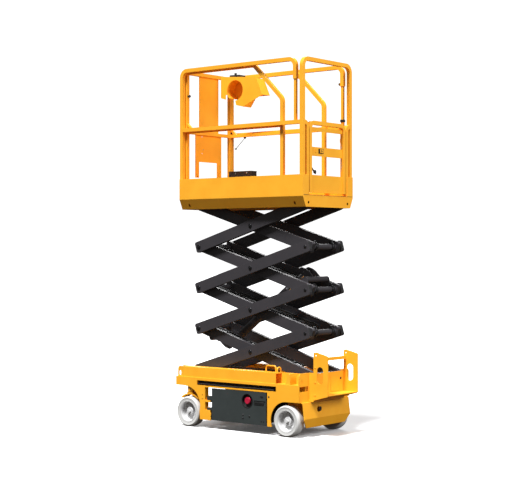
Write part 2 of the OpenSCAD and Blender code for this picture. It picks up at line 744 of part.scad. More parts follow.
// ---------- platform ----------
module deck_frame() {
  zh = skirt_z + 38;
  color(yellow) {
    // leaning side channels, with a slotted hole near each end
    both() difference() {
      slab_x(d_front, d_rear, [[d_half, toe_z], [d_half - skirt_lean, skirt_z],
        [d_half - skirt_lean - 40, skirt_z], [d_half - skirt_lean - 40, skirt_z + 6],
        [d_half - skirt_lean - 4, skirt_z + 6], [d_half - 8, toe_z + 4], [d_half - 8, deck_z + e],
        [d_half, deck_z + e]]);
      for (x = [d_front + 112, d_rear - 119]) {
        for (z = [zh - 5, zh + 5]) rod_y(x, d_half - skirt_lean, d_half + 1, z, 12);
        box(x - 12, x + 12, d_half - skirt_lean, d_half + 1, zh - 5, zh + 5);
      }
    }
    // end plates
    for (x = [d_front, d_rear - 6]) difference() {
      slab_x(x, x + 6, [[-d_half + skirt_lean, skirt_z], [d_half - skirt_lean, skirt_z], [d_half - 2, toe_z],
        [d_half - 2, deck_z + e], [-d_half + 2, deck_z + e], [-d_half + 2, toe_z]]);
      for (y = [-316, 316]) rod_x(x - 1, x + 7, y, zh + 3, 13);
    }
    box(d_front, d_rear, -d_half, d_half, deck_z, deck_z + deck_t);
    // lugs of the fixed pins
    both() difference() {
      box(px - 36, px + 36, y_in - 14, y_in - 4, top_pin - 32, deck_z + e);
      rod_y(px, y_in - 15, y_in - 3, top_pin, bore_r);
    }
  }
}
// tracks of the sliders, hung under the deck
module deck_tracks() {
  x0 = d_front + 20;
  x1 = px - arm_span * cos(62) + block_l / 2 + 20;
  zt = top_pin + block_h / 2 + track_gap;
  zb = top_pin - block_h / 2 - track_gap;
  color(yellow) both() {
    box(x0, x1, track_in, track_in + plate, zb - plate, deck_z);
    box(x0, x1, track_in, track_out, zt, zt + plate);
    box(x0, x1, track_in, track_out, zb - plate, zb);
  }
}
module toe_boards() {
  z0 = deck_z + deck_t;
  color(yellow) {
    both() box(d_front, d_rear, d_half - toe_t, d_half, z0, toe_z + toe_height);
    both() box(d_rear - toe_t, d_rear, gate_y + 22, d_half, z0, toe_z + toe_height);
  }
}
module side_rails() {
  x0 = d_front + tube_r + 1;
  x1 = d_rear - post_inset;
  color(yellow) both() {
    bar_z(x0, rail_y, deck_z + deck_t, rail_z - bend, tube_r);
    bend_xz(x0 + bend, rail_y, rail_z - bend, bend, tube_r, 90);
    bar_x(x0 + bend, x1 - bend, rail_y, rail_z, tube_r);
    bend_xz(x1 - bend, rail_y, rail_z - bend, bend, tube_r, 0);
    // rear post: the bent tube, and a slimmer one that slides in it down to the middle rail
    bar_z(x1, rail_y, rail_z - post_sleeve, rail_z - bend, tube_r);
    bar_z(x1, rail_y, mid_z + tube_r - e, rail_z - post_sleeve + e, tube_r - 6);
    bar_x(x0, x_end_rail - tube_r - seat, rail_y, mid_z, tube_r);
  }
}
module end_rail() {
  x = x_end_rail;
  yj = gate_y + 8 + tube_r;
  rj = 44;
  color(yellow) {
    hoop_yz(x, -rail_y, rail_y, deck_z + deck_t, rail_z, bend, tube_r);
    // half-height jambs beside the gate, bent over to the corner posts
    both() {
      bar_z(x, yj, deck_z + deck_t, mid_z - rj, tube_r);
      bend_yz(x, yj + rj, mid_z - rj, rj, tube_r, 90);
      bar_y(x, yj + rj - e, rail_y, mid_z, tube_r);
    }
    // pins of the gate hinges
    for (z = gate_hinges) {
      box(x_gate_hinge - 4, x - tube_r + e, y_gate_hinge - 4, yj + 8, z - 6 - pin_gap, z - pin_gap);
      rod_z(x_gate_hinge, y_gate_hinge, z - 6, z + 44, 4);
    }
  }
}
module gate() {
  x = x_end_rail;
  z0 = ext_z + 16;
  y1 = gate_y - gate_r;
  color(yellow) {
    for (z = gate_hinges) difference() {
      union() {
        rod_z(x_gate_hinge, y_gate_hinge, z, z + 40, 7);
        box(x_gate_hinge - 3, x - gate_r + e, gate_y - 30, y_gate_hinge, z, z + 40);
      }
      rod_z(x_gate_hinge, y_gate_hinge, z - 1, z + 41, 4 + pin_gap);
    }
    hoop_yz(x, -y1, y1, z0, mid_z, 50, gate_r);
    box(x - 4, x + 4, -y1, y1, mid_z - 78, mid_z - 40);
    box(x - 4, x + 4, -y1, y1, z0 + 348, z0 + 434);
    box(x - 4, x + 4, -y1, y1, z0, toe_z + toe_height);
  }
}
module gate_latch() {
  x = x_end_rail;
  z0 = ext_z + 16;
  color(dark) box(x + 4, x + 20, -gate_y + 158, -gate_y + 222, z0 + 376, z0 + 420);
}
module ext_deck() {
  x0 = d_front + 2;
  color(yellow) {
    box(x0, d_front + ext_length + 10, -ext_y - 8, ext_y + 8, ext_z, ext_z + deck_t);
    box(x0, x0 + 5, -ext_y - 20, ext_y + 20, ext_z + deck_t - e, toe_z + toe_height);
    both() box(x0, d_front + ext_length + 10, ext_y - 30, ext_y + 8, deck_z + deck_t + pin_gap, ext_z + e);
  }
}
module ext_rails() {
  x0 = d_front + 38;
  xt = d_front + ext_top;
  x1 = d_front + ext_length;
  drop = x1 - xt;
  zd = ext_rail_z - drop;
  c = bend * cos(45);
  color(yellow) {
    both() {
      bar_z(x0, ext_y, ext_z + deck_t, ext_rail_z + ext_r, ext_r);
      bar_x(x0, xt, ext_y, ext_rail_z, ext_r);
      bend_xz(xt, ext_y, ext_rail_z - bend, bend, ext_r, 45, 45);
      translate([xt + c, ext_y, ext_rail_z - bend + c]) rotate([0, 45, 0])
        bar_x(-2, (drop - bend) * sqrt(2) + 2, 0, 0, ext_r - 0.05);
      bend_xz(x1 - bend, ext_y, zd, bend, ext_r, 0, 45);
      bar_z(x1, ext_y, ext_z + deck_t, zd, ext_r);
      bar_x(x0, x1, ext_y, mid_z - 14, ext_r - 2);
      // brace between the front post and the middle bar
      slab(ext_y - 12, ext_y + 12, [[x0, mid_z + 92], [x0 + 110, mid_z - 14], [x0 + 82, mid_z - 14],
        [x0, mid_z + 64]]);
    }
    bar_y(x0, -ext_y, ext_y, ext_rail_z, ext_r);
    bar_y(x0, -ext_y, ext_y, mid_z - 14, ext_r - 2);
  }
}
module front_panel() {
  x = x_hang - 4;
  y0 = panel_shift - panel_width / 2;
  y1 = panel_shift + panel_width / 2;
  zf = toe_z + panel_foot;
  zn = zf + 162;                                 // top of the notch between its feet
  zw = mid_z + 5;
  color(yellow) difference() {
    slab_x(x, x + 4, [[y0 - 58, zf], [y0, zf], [y0, zn], [y1 - 24, zn], [y1 - 24, zf], [y1 + 46, zf],
      [y1 + 46, zw], [y1, zw], [y1, ext_rail_z + 6], [y0, ext_rail_z + 6], [y0, zw], [y0 - 58, zw]]);
    for (z = [mid_z - panel_hole_top, mid_z - panel_hole_low])
      rod_x(x - 1, x + 5, y0 + panel_hole_inset, z, 6);
  }
}
// guard of the control box: a side plate with a round opening, a curved sheet behind it and a casing
module control_hood() {
  x = d_front + 38 + ext_r + seat;
  z = ext_rail_z;
  y0 = hood_y - hood_depth;
  y1 = hood_y;
  xa = x + hood_reach;
  za = z - hood_drop;
  color(yellow) {
    difference() {
      slab(y0, y0 + 4, [[x, z + 10], [x + 288, z - 14], [x + 474, z - 39], [x + 553, z - 214],
        [x + 301, z - 320], [x + 206, z - 298], [xa, za - hood_arch + 20], [x + 60, z - 230],
        [x, z - 213]]);
      rod_y(xa, y0 - 1, y0 + 5, za, hood_arch);
      box(x + 66, xa, y0 - 1, y0 + 5, za - 140, za - 40);
    }
    translate([xa, y1, za]) rotate([90, 0, 0]) rotate([0, 0, -60]) rotate_extrude(angle = 190)
      translate([hood_arch, 0]) square([4, y1 - y0]);
    rod_y(xa, y1 - 4, y1, za, hood_arch + 2);
    // the sheet goes on round the front of the opening, thinner and set back from the plate
    translate([xa, y1, za]) rotate([90, 0, 0]) rotate([0, 0, 126]) rotate_extrude(angle = 100)
      translate([hood_arch + 0.5, 0]) square([3, y1 - y0 - 2]);
    slab(y0 + 4 - e, y1, [[x + 299, z - 15], [x + 474, z - 39], [x + 553, z - 214], [x + 380, z - 212],
      [x + 301, z - 320], [x + 292, z - 316], [x + 292, z - 220], [x + 299, z - 200]]);
    slab(y0 + 4 - e, y1, [[x, z + 10], [x + 300, z - 15], [x + 300, z - 19], [x, z + 6]]);
  }
}
module control_box() {
  x = d_front + 38 + ext_r + seat + desk_setback;
  z = ext_rail_z + 10 - desk_setback / 12 + 0.3;
  y0 = hood_y - hood_depth + 20;
  color(dark) {
    slab(y0, hood_y - 6, [[x, z], [x + desk_length, z - desk_length / 12],
      [x + desk_length, z + 14], [x, z + 18]]);
    rod_z(x + 40, y0 + stick_inset, z + 10, z + stick_height, 13);
  }
}
module outlet_box() {
  x = d_front + outlet_inset;
  z = ext_z + deck_t;
  y = ext_y - outlet_gap;
  color(dark) box(x, x + outlet_length, y - outlet_depth, y, z, z + outlet_height);
}

// ---------- assembly ----------
near_side_frame();
far_side_frame();
well_frame();
rear_cover();
entry_step();
base_tracks();
base_pin();
lashing_loops();
power_block();
near_tray();
far_tray();
stop_switch();
rear_axles();
near_knuckle();
far_knuckle();
near_front_tyre();
near_front_rim();
far_front_tyre();
far_front_rim();
near_rear_tyre();
near_rear_rim();
far_rear_tyre();
far_rear_rim();
outer_arms_1();
outer_arms_2();
outer_arms_3();
outer_arms_4();
inner_arms_1();
inner_arms_2();
inner_arms_3();
inner_arms_4();
lift_barrel();
lift_rod();
base_slider();
deck_slider();
deck_frame();
deck_tracks();
toe_boards();
side_rails();
end_rail();
gate();
gate_latch();
ext_deck();
ext_rails();
front_panel();
control_hood();
control_box();
outlet_box();
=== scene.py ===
"""Self-propelled electric scissor lift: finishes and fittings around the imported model."""
import json
import math

import bmesh
import bpy
import numpy as np
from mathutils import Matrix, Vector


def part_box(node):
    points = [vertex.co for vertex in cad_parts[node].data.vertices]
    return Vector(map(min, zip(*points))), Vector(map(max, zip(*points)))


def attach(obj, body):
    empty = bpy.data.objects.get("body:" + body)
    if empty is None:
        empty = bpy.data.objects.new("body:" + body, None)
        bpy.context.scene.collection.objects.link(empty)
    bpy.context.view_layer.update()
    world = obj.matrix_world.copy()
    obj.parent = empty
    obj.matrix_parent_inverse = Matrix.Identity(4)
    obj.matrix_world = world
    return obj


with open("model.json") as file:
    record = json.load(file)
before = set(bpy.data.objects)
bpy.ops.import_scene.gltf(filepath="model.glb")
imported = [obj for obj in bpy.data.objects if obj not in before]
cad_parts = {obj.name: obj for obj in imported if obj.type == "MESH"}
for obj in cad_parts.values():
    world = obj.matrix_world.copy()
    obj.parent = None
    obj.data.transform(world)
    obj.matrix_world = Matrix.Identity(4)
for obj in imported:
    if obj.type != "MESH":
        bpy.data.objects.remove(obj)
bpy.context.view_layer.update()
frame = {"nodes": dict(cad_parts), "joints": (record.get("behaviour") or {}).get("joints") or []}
NODES = frame["nodes"]
MM = 0.001


# ---------- colour and shader helpers ----------
def linear(hex_code):
    """sRGB hex to linear RGBA: (c/12.92) below 0.04045, ((c+0.055)/1.055)^2.4 above."""
    c = np.array([int(hex_code[i:i + 2], 16) for i in (1, 3, 5)]) / 255
    low = c <= 0.04045
    return tuple(np.where(low, c / 12.92, ((c + 0.055) / 1.055) ** 2.4)) + (1.0,)


def add(tree, kind, links=None, **settings):
    """Adds a shader node, sets its properties or sockets, _3 being the socket with index 3, and
    links sockets to (node, output)."""
    made = tree.nodes.new("ShaderNode" + kind)
    for key, value in settings.items():
        if hasattr(made, key):
            setattr(made, key, value)
        else:
            made.inputs[int(key[1:]) if key[0] == "_" else key].default_value = value
    for socket, (source, output) in (links or {}).items():
        tree.links.new(source.outputs[output], made.inputs[socket])
    return made


def ramp(tree, source, stops):
    """Colour ramp over source between two stops, each (place, hex)."""
    made = add(tree, "ValToRGB", {"Fac": source})
    for element, (place, tone) in zip(made.color_ramp.elements, stops):
        element.position = place
        element.color = linear(tone)
    return made


def per_metre(size_mm):
    """Texture scale whose features are about size_mm across."""
    return 1 / (size_mm * MM)


PATCH_MM = 180              # width of the broad patches in which a coat's tone and gloss drift
TONE_SPAN = 0.35, 0.65      # noise at which a patch has the deep tone, and the base tone
GLOSS_SPAN = 0.3, 0.7       # noise at which a patch is dullest, and glossiest
GLOSS_DRIFT = 0.05          # how far the roughness drifts each way
WORN_TURN = 0.86            # cosine between rounded and flat normal where an edge is fully worn
SPECK_MM = 14               # width of the specks that break up a worn edge
SPECK_SPAN = 0.52, 0.62     # noise at which a speck starts, and is whole
PEEL_STRENGTH = 0.6         # how strongly the orange peel turns the light


def coating(name, base, deep, worn, rough, peel_mm, peel_depth_mm, edge_mm, wear, metallic=0.0):
    """Coat on metal or skin of a moulding. Its tone drifts between deep and base over broad patches,
    and its roughness round rough. Its orange peel is a fine bump, peel_mm wide and peel_depth_mm
    high. Edges are rounded to edge_mm and show the worn tone in specks, more of them with wear."""
    m = bpy.data.materials.new(name)
    m.use_nodes = True
    t = m.node_tree
    shader = t.nodes["Principled BSDF"]
    where = add(t, "TexCoord")
    patches = add(t, "TexNoise", {"Vector": (where, "Object")},
                  Scale=per_metre(PATCH_MM), Detail=4.0, Roughness=0.6)
    tone = ramp(t, (patches, "Fac"), zip(TONE_SPAN, (deep, base)))
    round_edge = add(t, "Bevel", samples=4, Radius=edge_mm * MM)
    flat = add(t, "NewGeometry")
    sameness = add(t, "VectorMath", {0: (round_edge, "Normal"), 1: (flat, "Normal")},
                   operation="DOT_PRODUCT")
    grain = add(t, "TexNoise", {"Vector": (where, "Object")},
                Scale=per_metre(SPECK_MM), Detail=6.0, Roughness=0.7)
    edge = add(t, "MapRange", {"Value": (sameness, "Value")}, _1=1.0, _2=WORN_TURN, _3=0.0, _4=1.0)
    specks = add(t, "MapRange", {"Value": (grain, "Fac")},
                 _1=SPECK_SPAN[0], _2=SPECK_SPAN[1], _3=0.0, _4=wear)
    mask = add(t, "Math", {0: (edge, "Result"), 1: (specks, "Result")}, operation="MULTIPLY")
    colour = add(t, "Mix", {"Factor": (mask, "Value"), 6: (tone, "Color")},
                 data_type="RGBA", _7=linear(worn))
    peel = add(t, "TexNoise", {"Vector": (where, "Object")}, Scale=per_metre(peel_mm), Detail=2.0)
    bump = add(t, "Bump", {"Height": (peel, "Fac"), "Normal": (round_edge, "Normal")},
               Strength=PEEL_STRENGTH, Distance=peel_depth_mm * MM)
    gloss = add(t, "MapRange", {"Value": (patches, "Fac")},
                _1=GLOSS_SPAN[0], _2=GLOSS_SPAN[1], _3=rough + GLOSS_DRIFT, _4=rough - GLOSS_DRIFT)
    t.links.new(colour.outputs[2], shader.inputs["Base Color"])
    t.links.new(gloss.outputs["Result"], shader.inputs["Roughness"])
    t.links.new(bump.outputs["Normal"], shader.inputs["Normal"])
    shader.inputs["Metallic"].default_value = metallic
    return m


# each coat has its base, deep and worn tone, then its roughness, the width and the height of its
# orange peel, its edge radius (all three in mm) and its wear
# powder coat over steel: even amber, soft sheen, fine orange peel
amber_powder_coat = coating("amber powder coat", "#FFB62E", "#FBAE27", "#D98F1E", 0.42, 2.2, 0.02, 2.0, 0.5)
# charcoal enamel over steel arms: satin, broad dull patches
charcoal_enamel = coating("charcoal enamel", "#39363A", "#312F33", "#4B494E", 0.55, 2.6, 0.02, 2.5, 0.4)
# slate enamel on pressed doors: satin with a green cast
slate_enamel = coating("slate enamel", "#373D3D", "#303636", "#4F5757", 0.45, 2.4, 0.02, 2.5, 0.4)
# cast iron, painted: rough and nearly black
painted_casting = coating("painted casting", "#2B2B2D", "#222224", "#4A4A4C", 0.6, 3.0, 0.06, 2.0, 0.5)
# silver grey enamel on wheel rims: pale, with a soft shine
silver_enamel = coating("silver grey enamel", "#D5D5D5", "#CACACB", "#B0B0B1", 0.4, 2.0, 0.02, 2.0, 0.3)
# solid rubber, pale so that it leaves no marks: dull, faint scuffs
pale_rubber = coating("non-marking rubber", "#D2D2D0", "#C7C7C5", "#B3B3B0", 0.75, 1.6, 0.05, 3.0, 0.6)
# turned steel of axles and the fixed pin: grey metal, soft shine
turned_steel = coating("turned steel", "#8F8F92", "#7F7F82", "#A5A5A8",
                       0.35, 1.0, 0.01, 0.6, 0.3, metallic=1.0)
# hard chrome on the cylinder rod: bright and almost a mirror
hard_chrome = coating("hard chrome", "#D5D6D8", "#CFD0D2", "#C0C0C2",
                      0.12, 1.5, 0.002, 0.6, 0.1, metallic=1.0)
# injection moulded plastics: the red one glossy, the black one satin, the nylon duller
red_plastic = coating("moulded red plastic", "#B8203F", "#A81A36", "#8A1530", 0.3, 1.0, 0.01, 2.0, 0.2)
black_plastic = coating("moulded black plastic", "#232324", "#1C1C1D", "#3A3A3B", 0.5, 1.2, 0.03, 1.5, 0.3)
black_nylon = coating("glass-filled black nylon", "#1E1E1F", "#19191A", "#333334",
                      0.55, 1.0, 0.03, 1.0, 0.3)
# vulcanised rubber: matt and very dark
hose_rubber = coating("hydraulic hose rubber", "#262627", "#1F1F20", "#343435", 0.7, 1.5, 0.05, 1.0, 0.2)
black_rubber = coating("bellows rubber", "#1B1B1C", "#171718", "#2B2B2C", 0.75, 1.2, 0.04, 1.0, 0.2)
# blackened steel of pins and screws: oily, low sheen
black_oxide = coating("black oxide steel", "#2A2A2C", "#202022", "#545458",
                      0.4, 0.8, 0.01, 0.8, 0.4, metallic=0.6)
# bright zinc plate on bolts: pale, faintly blue
zinc_plate = coating("bright zinc plate", "#B4B7BC", "#A4A8AE", "#C9CCD0",
                     0.32, 0.7, 0.01, 0.6, 0.3, metallic=1.0)

FINISH = {
    amber_powder_coat: ["near_side_frame", "far_side_frame", "well_frame", "rear_cover", "entry_step",
                        "lashing_loops", "deck_frame", "toe_boards", "side_rails", "end_rail", "gate",
                        "ext_deck", "ext_rails", "front_panel", "control_hood", "deck_tracks",
                        "near_knuckle", "far_knuckle"],
    charcoal_enamel: ["%s_arms_%d" % (side, i) for side in ("outer", "inner") for i in range(1, 5)]
    + ["lift_barrel"],
    slate_enamel: ["near_tray", "far_tray"],
    painted_casting: ["base_slider", "deck_slider", "base_tracks", "power_block"],
    silver_enamel: ["%s_%s_rim" % (s, e) for s in ("near", "far") for e in ("front", "rear")],
    pale_rubber: ["%s_%s_tyre" % (s, e) for s in ("near", "far") for e in ("front", "rear")],
    turned_steel: ["rear_axles", "base_pin"],
    hard_chrome: ["lift_rod"],
    red_plastic: ["stop_switch"],
    black_plastic: ["gate_latch", "control_box", "outlet_box"],
}
for material, names in FINISH.items():
    for name in names:
        NODES[name].data.materials.clear()
        NODES[name].data.materials.append(material)


# ---------- places taken from the frame ----------
PIN = {joint["name"]: np.array(joint["pos_m"]) for joint in frame["joints"] if "pos_m" in joint}
FIXED_X = PIN["lift"][0]                # the pins that stay above one another
SLIDE_X = PIN["slider_low"][0]          # the pins that slide
LOWEST = PIN["lift"][2]                 # height of the lowest pins
RISE = PIN["link_2"][2] - LOWEST        # height of one level
SPAN = math.hypot(FIXED_X - SLIDE_X, RISE)                  # between the end pins of an arm
RISING = np.array([FIXED_X - SLIDE_X, 0, RISE]) / SPAN      # along an outer arm
FALLING = RISING * (-1, 1, 1)                               # along an inner arm
ARM_WIDTH = 44 * MM                     # of one arm, across the machine
ARM_GAP = 9 * MM                        # between an outer arm and the inner arm beside it
PIN_PROUD = 1 * MM                      # how far the pins stand out of the outer arms
OUTER_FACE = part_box("outer_arms_2")[1].y - PIN_PROUD
INNER_FACE = OUTER_FACE - ARM_WIDTH - ARM_GAP
LEVELS = range(1, 5)
SIDES = (-1, 1)                         # near and far
NAMED_SIDES = (("near", -1), ("far", 1))
UP = (0, 0, 1)
TO_ENTRY = (1, 0, 0)                    # towards the end with the step and the gate


def level(i):
    """Height of the pins under level i."""
    return LOWEST + (i - 1) * RISE


# ---------- surfaces ----------
def skin(grid):
    """Quads over points on a grid whose second parameter runs round and closes. First and last rows
    that are a single point make closed ends."""
    n, m = grid.shape[:2]
    i = np.arange(n - 1)[:, None]
    j = np.arange(m)[None, :]
    ahead = (j + 1) % m
    faces = np.stack([i * m + j, i * m + ahead, (i + 1) * m + ahead, (i + 1) * m + j], -1)
    return grid.reshape(-1, 3), faces.reshape(-1, 4)


def turned(profile, sides=32):
    """Surface of revolution about z from (radius, height) in mm: (r cos t, r sin t, h)."""
    r, h = np.array(profile, float).T[:, :, None] * MM
    t = np.linspace(0, 2 * np.pi, sides, endpoint=False)
    return skin(np.stack([r * np.cos(t), r * np.sin(t), h + 0 * t], -1))


def pressed(outline, depth, edge):
    """Plate of an outline in mm, from z = 0 to depth, its edges eased. From row to row the outline
    is its middle point, drawn in by edge, full, full, drawn in, and its middle point."""
    flat = np.array(outline, float)
    middle = flat.mean(0)
    out = flat - middle
    drawn = out * (1 - edge / np.linalg.norm(out, axis=1, keepdims=True))
    rows = [(0 * out, 0), (drawn, 0), (out, edge), (out, depth - edge), (drawn, depth), (0 * out, depth)]
    return skin(np.array([np.column_stack([row + middle, np.full(len(row), z)]) for row, z in rows]) * MM)


def rounded(width, height, radius, steps=5):
    """Outline of a rectangle whose corners are quarter circles: corner centre + r (cos t, sin t)."""
    t = np.linspace(0, np.pi / 2, steps)
    corners = [(1, 1, 0), (-1, 1, 1), (-1, -1, 2), (1, -1, 3)]
    return np.concatenate([np.column_stack([
        sx * (width / 2 - radius) + radius * np.cos(t + turn * np.pi / 2),
        sy * (height / 2 - radius) + radius * np.sin(t + turn * np.pi / 2)]) for sx, sy, turn in corners])


def swept(path, ring, up=(0, 0, 1)):
    """Outline carried along a path in metres: path + a side + b lift, where side is the tangent
    crossed with up. The ends close on the path."""
    path = np.array(path, float)
    tangent = np.gradient(path, axis=0)
    tangent /= np.linalg.norm(tangent, axis=1, keepdims=True)
    side = np.cross(tangent, up)
    side /= np.linalg.norm(side, axis=1, keepdims=True)
    lift = np.cross(side, tangent)
    a, b = np.array(ring, float).T[:, None, :, None] * MM
    body = path[:, None] + a * side[:, None] + b * lift[:, None]
    cap = np.ones((1, len(ring), 1))
    return skin(np.concatenate([path[:1, None] * cap, body, path[-1:, None] * cap]))


def circle(radius, sides=16):
    """Points of a circle in mm: (r cos t, r sin t)."""
    t = np.linspace(0, 2 * np.pi, sides, endpoint=False)
    return np.column_stack([radius * np.cos(t), radius * np.sin(t)])


def aimed(shape, at, along, up=(0, 0, 1)):
    """Shape made about z, turned so that z points along and y towards up, and moved to at."""
    z = np.array(along, float) / np.linalg.norm(along)
    x = np.cross(up, z)
    if np.linalg.norm(x) < 1e-6:
        x = np.cross((0, 1, 0), z)
    x /= np.linalg.norm(x)
    return shape[0] @ np.array([x, np.cross(z, x), z]) + np.array(at), shape[1]


def together(shapes):
    """Several shapes as one."""
    start = np.cumsum([0] + [len(points) for points, _ in shapes])
    return (np.concatenate([points for points, _ in shapes]),
            np.concatenate([faces + first for (_, faces), first in zip(shapes, start)]))


def spread(shape, places):
    """Copies of a small shape at many places, as one."""
    points, faces = shape
    places = np.array(places, float)
    first = np.arange(len(places))[:, None, None] * len(points)
    return (places[:, None] + points[None]).reshape(-1, 3), (faces[None] + first).reshape(-1, 4)


def piece(name, body, material, shapes, sharp=35):
    """Mesh piece of the given shapes that rides on a body."""
    points, faces = together(shapes)
    mesh = bpy.data.meshes.new(name)
    mesh.from_pydata(points, [], faces)
    work = bmesh.new()
    work.from_mesh(mesh)
    bmesh.ops.remove_doubles(work, verts=work.verts, dist=1e-6)
    bmesh.ops.recalc_face_normals(work, faces=work.faces)
    work.to_mesh(mesh)
    work.free()
    mesh.shade_smooth()
    mesh.set_sharp_from_angle(angle=math.radians(sharp))
    mesh.materials.append(material)
    made = bpy.data.objects.new(name, mesh)
    bpy.context.scene.collection.objects.link(made)
    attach(made, body)
    return made


def head(size):
    """Hexagon bolt head on its washer, both surfaces of revolution, size being the thread in mm."""
    washer, flats, crown = 1.15 * size, 0.95 * size, 0.8 * size
    thick, top, ease = 0.18 * size, 0.65 * size, 0.1 * size
    return together([
        turned([(0, 0), (washer, 0), (washer, thick), (0, thick)], 20),
        turned([(0, ease), (flats, ease), (flats, top), (crown, top + ease), (0, top + ease)], 6)])


def cap(radius, height):
    """Round cap with an eased edge, a surface of revolution."""
    ease = min(2, height / 2)
    return turned([(0, 0), (radius, 0), (radius, height - ease), (radius - ease, height), (0, height)], 28)


# ---------- arms ----------
def pin_caps(x, y, z, radius, height, thread):
    """Retaining caps of a pin, one on each side, with a bolt head on each."""
    return ([aimed(cap(radius, height), (x, s * y, z), (0, s, 0)) for s in SIDES]
            + [aimed(head(thread), (x, s * y + s * height * MM, z), (0, s, 0)) for s in SIDES])


def pin_fittings():
    """Retaining caps on the ends of the pins, each on the body that carries the pin."""
    for i in LEVELS:
        x, _, z = PIN["cross_%d" % i]
        piece("centre_pin_caps_%d" % i, "inner_%d" % i, black_oxide,
              pin_caps(x, OUTER_FACE + 3 * MM, z, radius=20, height=5, thread=8))
        ends = pin_caps(FIXED_X, OUTER_FACE + PIN_PROUD, level(i + 1), radius=16, height=3, thread=7)
        if i > 1:
            ends = pin_caps(SLIDE_X, OUTER_FACE + PIN_PROUD, level(i), radius=23, height=6, thread=10) + ends
        piece("end_pin_caps_%d" % i, "outer_%d" % i, black_oxide, ends)


def arm_end_plugs():
    """Moulded plugs in the open ends of the square-ended arm tubes: a lid and a raised field on it."""
    over = 42 * MM              # from a pin to the end of its arm
    lid_depth = 3
    lid = pressed(rounded(38, 82, 8), lid_depth, 1.2)
    field = pressed(rounded(26, 70, 6), 1.2, 0.5)
    for i in LEVELS:
        for kind, start, along, y in (
                ("outer", np.array([SLIDE_X, 0, level(i)]), RISING, OUTER_FACE - ARM_WIDTH / 2),
                ("inner", np.array([FIXED_X, 0, level(i)]), FALLING, INNER_FACE - ARM_WIDTH / 2)):
            ends = []
            if not (kind == "inner" and i == 1):
                ends.append((start - along * over, -along))
            if not (kind == "outer" and i == 4):
                ends.append((start + along * (SPAN + over), along))
            lift = np.cross((0, 1, 0), along)
            shapes = [aimed(part, at + (0, s * y, 0) + out * gap, out, up=lift)
                      for at, out in ends for s in SIDES
                      for part, gap in ((lid, 0), (field, lid_depth * MM))]
            piece("tube_plugs_%s_%d" % (kind, i), "%s_%d" % (kind, i), black_nylon, shapes)


def along_arm(kind, i, reach, lift, y):
    """Point on arm i: start pin + direction * reach + normal * lift, at side y."""
    start, run = ((SLIDE_X, RISING) if kind == "outer" else (FIXED_X, FALLING))
    upright = np.cross(run, (0, 1, 0)) * (-1 if kind == "outer" else 1)
    upright *= np.sign(upright[2])
    return np.array([start, 0, level(i)]) + run * reach + upright * lift + np.array([0, y, 0])


def upward(i):
    """Upward normal of the inner arms of level i."""
    return along_arm("inner", i, 0, 1, 0) - along_arm("inner", i, 0, 0, 0)


def hose(i, inset, y, up, sway, waves, radius):
    """Hose along an inner arm, starting and ending at inset from the pins. It is swept along the
    arm's middle line + normal * (up + sway sin(waves reach + up)), in mm."""
    reach = np.linspace(inset, SPAN - inset, 40)[:, None]
    lift = up * MM + sway * MM * np.sin(reach * waves + up)
    return swept(along_arm("inner", i, reach, 0, y) + upward(i) * lift, circle(radius, 12), up=(0, 1, 0))


def hose_clips(i, first, last, step, lift, s, size, depth):
    """Clips at even steps along the inner face of an inner arm."""
    y = s * (INNER_FACE - ARM_WIDTH - depth * MM)
    shape = pressed(rounded(*size), depth, 2)
    return [aimed(shape, along_arm("inner", i, at, lift * MM, y), (0, s, 0), up=upward(i))
            for at in np.arange(first, last, step)]


def arm_hoses():
    """Hydraulic hoses clipped to the inner arms: three on the inner face of each arm of levels two
    and three, and two that stand over the near arm's top edge on levels one to three."""
    wall = INNER_FACE - ARM_WIDTH
    for i in (1, 2, 3):
        hoses = [hose(i, inset=0.13, y=-(wall - 30 * MM), up=up, sway=2, waves=20, radius=9)
                 for up in (38, 55)]
        clips = hose_clips(i, first=0.24, last=SPAN - 0.15, step=0.29, lift=36, s=-1,
                           size=(24, 52, 6), depth=40)
        if i > 1:
            for s in SIDES:
                hoses += [hose(i, inset=0.17, y=s * (wall - 9 * MM), up=up, sway=2.5, waves=21, radius=7.5)
                          for up in (-4, -22, -40)]
                clips += hose_clips(i, first=0.25, last=SPAN - 0.2, step=0.22, lift=-22, s=s,
                                    size=(22, 62, 6), depth=18)
        piece("hoses_%d" % i, "inner_%d" % i, hose_rubber, hoses)
        piece("hose_clips_%d" % i, "inner_%d" % i, black_nylon, clips)


def shaft_collars():
    """Clamp collars on the sleeves of the rear pins, each with the lug of its clamp on top."""
    collar_y, lug_height = 0.118, 44 * MM
    ring = turned([(26, 0), (38, 0), (40, 3), (40, 27), (38, 30), (26, 30), (26, 0)], 32)
    lug = pressed(rounded(22, 26, 4), 30, 2)
    for i in (2, 3, 4):
        shapes = []
        for s in SIDES:
            at = np.array([FIXED_X, s * collar_y, level(i)])
            shapes += [aimed(ring, at, (0, s, 0)), aimed(lug, at + (0, 0, lug_height), (0, s, 0))]
        piece("shaft_collars_%d" % i, "inner_%d" % i, black_oxide, shapes)


